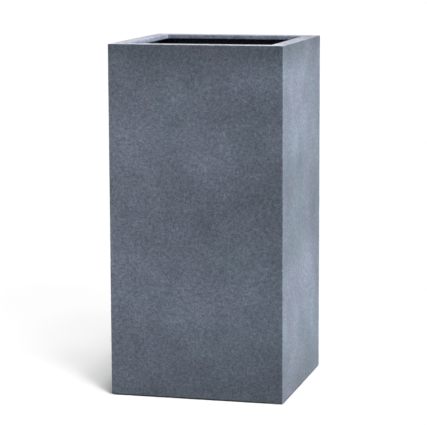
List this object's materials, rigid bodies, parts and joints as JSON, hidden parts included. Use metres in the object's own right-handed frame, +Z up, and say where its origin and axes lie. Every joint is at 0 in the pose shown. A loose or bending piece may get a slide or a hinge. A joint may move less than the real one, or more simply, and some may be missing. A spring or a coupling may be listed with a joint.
{
  "type": "tall square planter",
  "caption": "Tall square floor planter: a moulded shell with a turned-in rim, a bonded base on rubber feet, a drain plug, and a lift-out planting insert with fold-down bail handles.",
  "frame": {"origin": "on the floor, under the middle of the planter, at the bottom of its feet", "axes": "+Z up, -Y towards the front face, +X to the right of someone facing it"},
  "size_m": [0.4, 0.4, 0.8],
  "materials": {
    "shell_laminate": "matte",
    "inner_laminate": "matte",
    "insert_plastic": "satin",
    "rubber": "matte",
    "zinc_steel": "satin"
  },
  "bodies": {
    "planter": {"planter_shell": "shell_laminate", "base_panel": "inner_laminate", "foot_front_left": "rubber", "foot_front_right": "rubber", "foot_back_right": "rubber", "foot_back_left": "rubber", "foot_screw_front_left": "zinc_steel", "foot_screw_front_right": "zinc_steel", "foot_screw_back_right": "zinc_steel", "foot_screw_back_left": "zinc_steel", "insert_bracket_left": "inner_laminate", "insert_bracket_front": "inner_laminate", "insert_bracket_right": "inner_laminate", "insert_bracket_back": "inner_laminate"},
    "insert": {"planting_insert": "insert_plastic", "handle_saddle_front": "insert_plastic", "handle_saddle_back": "insert_plastic"},
    "left_bail": {"bail_handle_left": "zinc_steel", "bail_grip_left": "rubber"},
    "right_bail": {"bail_handle_right": "zinc_steel", "bail_grip_right": "rubber"},
    "plug": {"drain_plug": "rubber"}
  },
  "joints": [
    {"name": "insert_lift", "type": "slide", "parent": "planter", "child": "insert", "axis": [0, 0, 1], "range_m": [0, 0.34]},
    {"name": "left_bail_fold", "type": "hinge", "parent": "insert", "child": "left_bail", "pos_m": [-0.016, 0, 0.7563], "axis": [0, 1, 0], "range_deg": [0, 90]},
    {"name": "right_bail_fold", "type": "hinge", "parent": "insert", "child": "right_bail", "pos_m": [0.016, 0, 0.7563], "axis": [0, -1, 0], "range_deg": [0, 90]},
    {"name": "plug_pull", "type": "slide", "parent": "planter", "child": "plug", "axis": [0, 0, 1], "range_m": [0, 0.05]}
  ]
}
